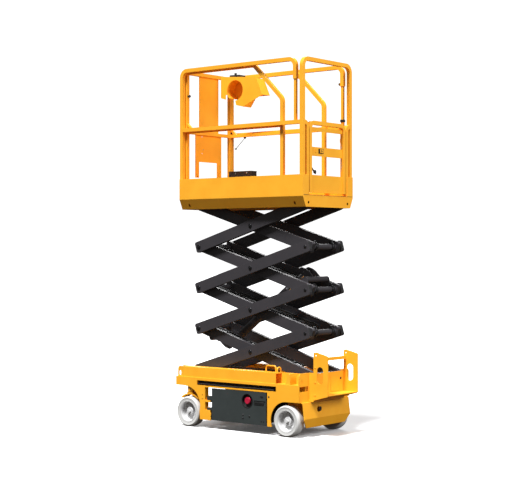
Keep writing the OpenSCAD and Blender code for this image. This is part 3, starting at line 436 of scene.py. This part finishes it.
# ---------- wheels ----------
def wheel_fittings():
    """Hub ring, wheel bolts, slotted nut and raised rings of the tyre's side, for each wheel. Each
    is a surface of revolution about the axle, its heights counted from the tyre's side."""
    hub = turned([(14, -55), (42, -55), (42, -33), (38, -29), (24, -28), (14, -28), (14, -55)], 40)
    nut = turned([(0, -27), (17, -27), (17, -16), (14, -13), (0, -13)], 6)
    stud_circle, stud_depth, first_stud = 66 * MM, 54 * MM, 0.3
    around = np.linspace(0, 2 * np.pi, 5, endpoint=False) + first_stud
    bead = [(0, 2.2), (1.6, 1.8), (2.4, 0), (1.6, -1), (-1.6, -1), (-2.4, 0), (-1.6, 1.8), (0, 2.2)]
    rings = [turned([(radius + a, height + b) for a, b in bead], 96)
             for radius, height in ((105, -3.8), (133, -0.6))]
    for side, s in NAMED_SIDES:
        for end in ("front", "rear"):
            low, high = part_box("%s_%s_tyre" % (side, end))
            x, z = (low.x + high.x) / 2, (low.z + high.z) / 2
            face, out = s * max(abs(low.y), abs(high.y)), (0, s, 0)
            body, where = "wheel_%s%s" % (side[0], end[0]), "%s_%s" % (side, end)
            studs = [np.array([x + stud_circle * math.cos(a), face - s * stud_depth,
                               z + stud_circle * math.sin(a)]) for a in around]
            piece("hub_" + where, body, silver_enamel, [aimed(hub, (x, face, z), out)])
            piece("wheel_nuts_" + where, body, silver_enamel,
                  [aimed(nut, (x, face, z), out)] + [aimed(head(11), at, out) for at in studs])
            piece("tyre_rings_" + where, body, pale_rubber,
                  [aimed(ring, (x, face, z), out) for ring in rings])


# ---------- base ----------
def duct_hoses_and_slot_shade():
    """Hoses and cables laid in the side beams, seen through the long slots, dark so that they also stand for
    the shade inside the slots: partly painted shade. Each is swept along z = height + dip sin(9 x + k), with
    a pressed shield behind them."""
    low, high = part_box("near_side_frame")
    x = np.linspace(low.x + 0.28, high.x - 0.31, 50)
    lay = ((384, 434, 8), (372, 452, 10), (362, 468, 10))       # side, height and radius
    dip = 3 * MM
    shield_y, shield_z = 345 * MM, 454 * MM
    shield = pressed(rounded((x[-1] - x[0]) / MM + 20, 62, 3), 2, 0.8)
    for side, s in NAMED_SIDES:
        # dark hoses: partly painted shade, standing also for the shade inside the slots
        hoses = [swept(np.column_stack([x, s * y * MM + 0 * x, z * MM + dip * np.sin(x * 9 + k)]),
                       circle(r, 12)) for k, (y, z, r) in enumerate(lay)]
        piece("duct_hoses_and_slot_shade_" + side, "base", hose_rubber, hoses)
        piece("duct_shield_" + side, "base", amber_powder_coat,
              [aimed(shield, ((x[0] + x[-1]) / 2, s * shield_y, shield_z), (0, s, 0))])


def tray_fittings():
    """Locks, moulded pull handle and screws on the face of each tray, and the bowl of its switch."""
    low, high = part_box("near_tray")
    switch_low, switch_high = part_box("stop_switch")
    switch_x, switch_z = (switch_low.x + switch_high.x) / 2, (switch_low.z + switch_high.z) / 2
    locks = [(-0.013, 0.172), (-0.013, 0.142), (0.068, 0.163)]
    grips = [((122, 32, 6), 4, 1.5, high.x - 90 * MM, 0.296),
             ((100, 14, 5), 7, 2, high.x - 90 * MM, 0.302),
             ((34, 15, 4), 4, 1.2, high.x - 55 * MM, 0.363)]        # size, depth, ease, x, z
    screws = [(low.x + 0.06, 0.125), (low.x + 0.06, 0.36), (high.x - 0.03, 0.125), (high.x - 0.06, 0.125)]
    bowl = turned([(38, -31), (66.5, -31), (66.5, 0), (70, 1.5), (70, 2.5),
                   (64, 2.5), (60, -24), (38, -28)], 56)
    for side, s in NAMED_SIDES:
        face, out, body = s * -low.y, (0, s, 0), "tray_" + side
        marks = [aimed(cap(10, 4), (x, face, z), out) for x, z in locks]
        marks += [aimed(cap(5, 7), (x, face, z), out) for x, z in locks[:2]]
        marks += [aimed(pressed(rounded(*size), depth, ease), (x, face, z), out)
                  for size, depth, ease, x, z in grips]
        piece("tray_lock_" + side, body, black_nylon, marks)
        piece("tray_screws_" + side, body, black_oxide,
              [aimed(head(5), (x, face, z), out) for x, z in screws])
        piece("switch_bowl_" + side, body, black_nylon,
              [aimed(bowl, (switch_x, face, switch_z), out)])
    button = turned([(0, 0), (30, 0), (30.5, 4), (29, 6), (10, 6.5), (0, 5)], 40)
    piece("switch_button", "tray_near", red_plastic,
          [aimed(button, (switch_x, switch_low.y, switch_z), (0, -1, 0))])


def base_bolts():
    """Bolts of the side plates, the step and the steering seats, dark discs in the spare holes of the plates
    and the rear cover that are painted shade standing for the shade inside the holes, and the panel and the
    socket on the step's wall."""
    flank = -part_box("near_side_frame")[0].y
    step_low, step_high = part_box("entry_step")
    cover_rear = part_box("rear_cover")[1].x
    seat_x, seat_y = PIN["steer_near"][0], -PIN["steer_near"][1]
    seat_top, beside_seat = 0.497, 0.196
    leg_bolts, step_bolts = (0.30, 0.34), (0.40, 0.52, 0.66)        # heights
    bolts, hole_shade_discs = [], []
    for s in SIDES:
        out = (0, s, 0)
        bolts += [aimed(head(7), (seat_x + beside_seat, s * flank, z), out) for z in leg_bolts]
        bolts += [aimed(head(7), (step_low.x + 0.02, s * step_high.y, z), out) for z in step_bolts]
        bolts.append(aimed(head(14), (seat_x, s * seat_y, seat_top), UP))
        # dark disc in the side plate's spare hole: painted shade standing for the inside of the hole
        hole_shade_discs.append(aimed(cap(9, 4), (0.309, s * (flank - 1 * MM), 0.367), out))
    piece("frame_bolts", "base", amber_powder_coat, bolts)
    # dark disc in the rear cover's spare hole: painted shade standing for the inside of the hole
    hole_shade_discs.append(aimed(cap(21, 3), (cover_rear - 4 * MM, -0.116, 0.261), TO_ENTRY))
    piece("painted_hole_shade", "base", black_nylon, hole_shade_discs)
    piece("wall_panel", "base", amber_powder_coat,
          [aimed(pressed(rounded(134, 148, 5), 3, 1), (step_low.x, 0.093, 0.485), TO_ENTRY)])
    socket = (step_low.x, 0.190, 0.53)
    piece("wall_socket", "base", black_nylon,
          [aimed(cap(11, 6), socket, TO_ENTRY), aimed(cap(5, 10), socket, TO_ENTRY)])


# ---------- platform ----------
def tread(name, body, x0, x1, y1, z):
    """Raised lozenges of tread plate, every second one turned across, 30 mm apart. Each is rows of
    ellipses (p cos t, q sin t, h) that shrink to its crown."""
    pitch, crown, sides = 30 * MM, 1.2, 8
    t = np.linspace(0, 2 * np.pi, sides, endpoint=False)
    nx, ny = int((x1 - x0 - pitch) / pitch), int((2 * y1 - pitch) / pitch)
    gx, gy = np.meshgrid(np.arange(nx), np.arange(ny))
    for turn, (a, b) in enumerate(((11, 3.2), (3.2, 11))):
        rows = [(a, b, -0.2), (0.75 * a, 0.7 * b, 0.9), (0.25 * a, 0.2 * b, crown)]
        rings = [np.column_stack([p * np.cos(t), q * np.sin(t), h + 0 * t]) for p, q, h in rows]
        lens = skin(np.array(rings + [np.tile((0, 0, crown), (sides, 1))]) * MM)
        keep = (gx + gy) % 2 == turn
        places = np.column_stack([x0 + pitch * (gx[keep] + 1), -y1 + pitch * (gy[keep] + 1),
                                  np.full(keep.sum(), z)])
        piece("%s_%s" % (name, "across" if turn else "along"), body, amber_powder_coat,
              [spread(lens, places)], sharp=60)


def deck_treads():
    """Tread plate on the fixed deck and on the roll-out deck, which lies a sheet higher."""
    low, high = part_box("deck_frame")
    out_low, out_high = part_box("ext_deck")
    sheet = 9 * MM
    tread("deck_tread", "platform", low.x + 0.03, high.x - 0.05, 0.29, high.z)
    tread("roll_out_tread", "roll_out", out_low.x + 0.02, out_high.x - 0.01, 0.31, high.z + sheet)


def rail_fittings():
    """Spring knobs of the posts, the dark sleeve of the far rear post, and the stay wire, which is
    swept along a straight line between its two eyes."""
    rail_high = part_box("side_rails")[1]
    ext_low, ext_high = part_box("ext_rails")
    tube, post_x = 19 * MM, 0.614
    sleeve_z, knob_z, cap_z = 3.028, 3.32, 2.99
    upper_x, lower_x, lower_z = -0.598, -0.722, 2.825           # eyes of the wire
    side_y, ext_y = rail_high.y - tube, ext_high.y - 18 * MM
    ext_x = ext_low.x + 36 * MM
    knob = turned([(0, 0), (7, 0), (7, 9), (12, 12), (14, 18), (12, 24), (0, 26)], 24)
    piece("rail_knobs", "platform", black_nylon,
          [aimed(knob, (post_x - tube, side_y, rail_high.z - 0.19 + 4 * MM), (-1, 0, 0)),
           aimed(pressed(rounded(39, 39, 5), 24, 3), (post_x, side_y, sleeve_z), UP)])
    piece("front_post_knobs", "roll_out", black_nylon,
          [aimed(knob, (ext_x, -ext_y, knob_z), TO_ENTRY),
           aimed(cap(10, 6), (ext_x, ext_y, cap_z), TO_ENTRY)])
    wire = np.linspace((upper_x, ext_y, 2.934), (lower_x, ext_y, lower_z), 12)
    piece("stay_wire", "roll_out", black_oxide,
          [swept(wire, circle(3, 10), up=(0, 1, 0)),
           aimed(cap(9, 22), (upper_x, ext_y - 11 * MM, 2.936), (0, 1, 0)),
           aimed(cap(7, 20), (lower_x, ext_y - 10 * MM, lower_z), (0, 1, 0))])


def gate_fittings():
    """Face plate, turn button and thumb rest of the latch, closing spring and a hook on the gate.
    The spring is swept along a helix, centre + radius (cos, sin) of 2 pi turns t, with z rising by
    its length times t, round a straight core."""
    latch_low, latch_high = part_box("gate_latch")
    y, z = (latch_low.y + latch_high.y) / 2, (latch_low.z + latch_high.z) / 2
    button_x = latch_high.x + 2 * MM
    face_x = latch_high.x - 1 * MM
    piece("latch_face", "gate", amber_powder_coat,
          [aimed(pressed(rounded(34, 50, 4), 4, 1.2), (face_x, y, z), TO_ENTRY, up=(0, 1, 0)),
           aimed(pressed(rounded(20, 40, 9), 5, 1.5), (latch_low.x, -0.178, z), TO_ENTRY)])
    piece("latch_button", "gate", black_nylon,
          [aimed(cap(5, 5), (button_x, y + 8 * MM, z), TO_ENTRY),
           aimed(pressed(rounded(26, 5, 2), 4, 1), (button_x, y - 10 * MM, z), TO_ENTRY, up=(0, 1, 0))])
    turns, per_turn, radius = 26, 14, 4 * MM
    spring_x, spring_y, spring_z, spring_length = 0.689, 0.255, 2.56, 0.21
    t = np.linspace(0, 1, turns * per_turn)
    coil = np.column_stack([spring_x + radius * np.cos(2 * np.pi * turns * t),
                            spring_y + radius * np.sin(2 * np.pi * turns * t),
                            spring_z + spring_length * t])
    core = np.linspace((spring_x, spring_y, 2.53), (spring_x, spring_y, 2.80), 8)
    piece("gate_spring", "gate", zinc_plate,
          [swept(coil, circle(1, 6)), swept(core, circle(1.6, 8), up=(0, 1, 0))])
    hook = [(0.694, -0.262, 2.552), (0.694, -0.235, 2.546), (0.692, -0.205, 2.520), (0.691, -0.17, 2.494)]
    piece("gate_hook", "gate", black_nylon,
          [swept(np.array(hook), circle(7, 10)), aimed(cap(17, 14), (0.690, -0.190, 2.511), TO_ENTRY)])


def end_shadow_line():
    """Dark bead swept along the joint where the end toe board meets the skirt under it: painted shadow that
    stands for the shadow line of that joint.
    """
    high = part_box("deck_frame")[1]
    board_low, board_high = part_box("end_rail")
    inset = 0.006
    x, z = high.x - 0.5 * MM, high.z - 2 * MM
    path = np.linspace((x, board_low.y + inset, z), (x, board_high.y - inset, z), 6)
    # dark bead: painted shadow of the gap under the end toe board
    piece("skirt_painted_shadow_line", "platform", black_rubber, [swept(path, circle(2.2, 8))])


def control_fittings():
    """Bellows and knob of the joystick, and the lid and the clasps of the outlet box. The bellows is
    a surface of revolution of radius 22 - 1.6 k at fold k, with 2 mm more at every second fold."""
    low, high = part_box("control_box")
    box_low, box_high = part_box("outlet_box")
    stick = (low.x + 40 * MM, (low.y + high.y) / 2, low.z)
    folds = [(22 - 1.6 * k + 2 * (k % 2), 10 + k) for k in range(6)]
    bellows = turned([(0, 4), (26, 4), (26, 8)] + folds + [(12, 17), (0, 17)], 28)
    knob = turned([(0, 14), (11, 14), (12, 20), (14, 25), (12, 29), (0, 30)], 28)
    piece("joystick", "roll_out", black_rubber,
          [aimed(bellows, stick, UP), aimed(knob, stick, UP)])
    overlap, lid_radius, lid_depth = 6, 6, 6
    lid = pressed(rounded((box_high.x - box_low.x) / MM + overlap, (box_high.y - box_low.y) / MM + overlap,
                          lid_radius), lid_depth, 2)
    middle = ((box_low.x + box_high.x) / 2, (box_low.y + box_high.y) / 2, box_high.z)
    piece("outlet_lid", "roll_out", slate_enamel, [aimed(lid, middle, UP, up=(0, 1, 0))])
    clasp = pressed(rounded(14, 20, 3), 4, 1.2)
    piece("outlet_clasps", "roll_out", zinc_plate,
          [aimed(clasp, (middle[0] + dx, box_low.y, box_high.z - 14 * MM), (0, -1, 0))
           for dx in (-0.06, 0.09)])


def panel_fittings():
    """Screws at the foot of the front panel and rivets on its middle."""
    low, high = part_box("front_panel")
    in_from_edge, foot, rivet_heights = 0.03, low.z + 0.012, (2.80, 2.95)
    piece("panel_screws", "roll_out", black_oxide,
          [aimed(head(6), (high.x, y, foot), TO_ENTRY)
           for y in (low.y + in_from_edge, high.y - in_from_edge)])
    piece("panel_rivets", "roll_out", zinc_plate,
          [aimed(cap(5, 2.5), (high.x, low.y + 0.12, z), TO_ENTRY) for z in rivet_heights])


for fit in (pin_fittings, arm_end_plugs, arm_hoses, shaft_collars,
            wheel_fittings, duct_hoses_and_slot_shade, tray_fittings, base_bolts,
            deck_treads, rail_fittings, gate_fittings, end_shadow_line, control_fittings, panel_fittings):
    fit()


# ---------- stage, light and camera ----------
SKY, SKY_SEEN = 0.2, 1.15       # strength of the sky as a light, and as the camera sees it
FLOOR_GLOW = 0.06               # own light of the floor as the camera sees it
FLOOR_REACH = 60                # half the floor's width in metres
FLOOR_BOUNCE = "#3A352F"        # tone of the floor as other surfaces see it
LIT = (0, 0, 1.6)               # what the lamps point at
# name, kind, place, size (degrees for the sun, metres for an area), power
LAMPS = (("sun", "SUN", (0.4, -4.8, 11.0), 14, 6.1),
         ("fill", "AREA", (9.0, -0.5, 5.0), 4.0, 620),
         ("back", "AREA", (-5.0, 8.0, 6.0), 5.0, 560))
VIEW_TURN = 39.11               # degrees from square on, round to the entry end
VIEW_DISTANCE = 13.207
VIEW_SHIFT = -0.152             # middle of the view along x
EYE_HEIGHT = 1.779
LENS_MM, SENSOR_MM = 92.2, 36


def studio():
    """White floor that runs out of sight, a broad sun from high on the near side, a soft fill from
    the entry end and a back light from the far side. The camera sees floor and sky at full white,
    while the light that the floor sends back up is kept low, so that undersides and slots stay deep."""
    r = FLOOR_REACH
    floor = bpy.data.meshes.new("floor")
    floor.from_pydata([(-r, -r, 0), (r, -r, 0), (r, r, 0), (-r, r, 0)], [], [(0, 1, 2, 3)])
    floor = bpy.data.objects.new("floor", floor)
    bpy.context.scene.collection.objects.link(floor)
    paper = bpy.data.materials.new("white studio paper")
    paper.use_nodes = True
    t = paper.node_tree
    white = t.nodes["Principled BSDF"]
    white.inputs["Base Color"].default_value = linear("#FBFBFC")
    white.inputs["Roughness"].default_value = 0.95
    white.inputs["Emission Color"].default_value = linear("#FFFFFF")
    white.inputs["Emission Strength"].default_value = FLOOR_GLOW
    grey = add(t, "BsdfDiffuse", Color=linear(FLOOR_BOUNCE))
    seen = add(t, "LightPath")
    both = add(t, "MixShader", {0: (seen, "Is Camera Ray"), 1: (grey, "BSDF"), 2: (white, "BSDF")})
    t.links.new(both.outputs["Shader"], t.nodes["Material Output"].inputs["Surface"])
    floor.data.materials.append(paper)
    for name, kind, place, size, power in LAMPS:
        lamp = bpy.data.lights.new(name, kind)
        lamp.energy = power
        if kind == "SUN":
            lamp.angle = math.radians(size)
        else:
            lamp.size = size
        holder = bpy.data.objects.new(name, lamp)
        holder.location = place
        to = np.array(LIT) - np.array(place)
        tilt, turn = math.acos(-to[2] / np.linalg.norm(to)), math.atan2(to[0], -to[1]) + math.pi
        holder.rotation_euler = (tilt, 0, turn)
        bpy.context.scene.collection.objects.link(holder)
    world = bpy.data.worlds.new("studio")
    world.use_nodes = True
    t = world.node_tree
    sky = t.nodes["Background"]
    sky.inputs["Color"].default_value = linear("#FFFFFF")
    seen = add(t, "LightPath")
    strength = add(t, "MapRange", {"Value": (seen, "Is Camera Ray")}, _1=0.0, _2=1.0, _3=SKY, _4=SKY_SEEN)
    t.links.new(strength.outputs["Result"], sky.inputs["Strength"])
    bpy.context.scene.world = world
    bpy.context.scene.view_settings.view_transform = "Standard"


def camera():
    """Level camera at eye height, turned from square on to the entry end."""
    turn = math.radians(VIEW_TURN)
    cam = bpy.data.cameras.new("camera")
    cam.lens = LENS_MM
    cam.sensor_width = SENSOR_MM
    holder = bpy.data.objects.new("camera", cam)
    holder.location = (VIEW_SHIFT + VIEW_DISTANCE * math.sin(turn),
                       -VIEW_DISTANCE * math.cos(turn), EYE_HEIGHT)
    holder.rotation_euler = (math.radians(90), 0, turn)
    bpy.context.scene.collection.objects.link(holder)
    bpy.context.scene.camera = holder


studio()
camera()
